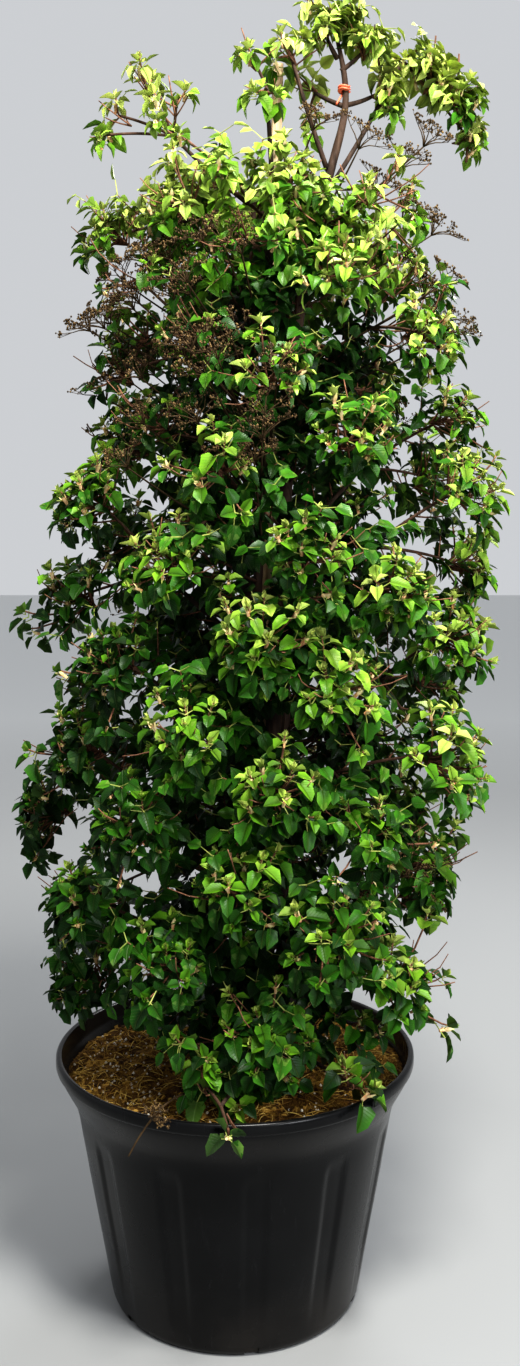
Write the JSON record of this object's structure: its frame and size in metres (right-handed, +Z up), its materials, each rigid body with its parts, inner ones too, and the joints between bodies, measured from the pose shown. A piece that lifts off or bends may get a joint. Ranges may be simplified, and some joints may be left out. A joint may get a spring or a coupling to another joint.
{
  "type": "potted climbing plant",
  "caption": "Leafy climbing hydrangea trained as a tall column up a wooden stake, in a round black nursery pot.",
  "frame": {"origin": "centre of the pot's base, on the surface that it stands on", "axes": "+Z up the plant, -Y to the front that the picture shows, +X to its right"},
  "size_m": [0.9149, 0.7682, 2.4647],
  "materials": {
    "pot_plastic": "satin",
    "potting_mix": "loose bark and fibre",
    "stake_wood": "sawn",
    "tie": "soft",
    "bark": "rough, peeling",
    "dried_flower": "dry",
    "foliage": "satin leaf"
  },
  "bodies": {
    "root": {"pot": "pot_plastic", "soil": "potting_mix", "stake": "stake_wood", "tie_band": "tie", "fallen_flower_stalk": "dried_flower", "stem_1": "bark", "stem_2": "bark", "stem_3": "bark", "stem_4": "bark", "stem_5": "bark", "dried_flower_head_1": "dried_flower", "dried_flower_head_2": "dried_flower", "dried_flower_head_3": "dried_flower", "dried_flower_head_4": "dried_flower", "dried_flower_head_5": "dried_flower", "dried_flower_head_6": "dried_flower", "dried_flower_head_7": "dried_flower", "bough_01": "foliage", "bough_02": "foliage", "bough_03": "foliage", "bough_04": "foliage", "bough_05": "foliage", "bough_06": "foliage", "bough_07": "foliage", "bough_08": "foliage", "bough_09": "foliage", "bough_10": "foliage", "bough_11": "foliage", "bough_12": "foliage", "bough_13": "foliage", "bough_14": "foliage", "bough_15": "foliage", "bough_16": "foliage", "bough_17": "foliage", "bough_18": "foliage", "bough_19": "foliage", "bough_20": "foliage", "bough_21": "foliage", "bough_22": "foliage", "bough_23": "foliage", "bough_24": "foliage", "bough_25": "foliage", "bough_26": "foliage", "bough_27": "foliage", "bough_28": "foliage", "bough_29": "foliage", "bough_30": "foliage", "bough_31": "foliage", "top_shoot_1": "foliage", "top_shoot_2": "foliage", "top_shoot_3": "foliage", "top_shoot_4": "foliage", "top_shoot_5": "foliage", "top_shoot_6": "foliage", "top_shoot_7": "foliage", "top_shoot_8": "foliage", "top_shoot_9": "foliage", "rim_shoot_1": "foliage", "rim_shoot_2": "foliage"}
  },
  "joints": []
}
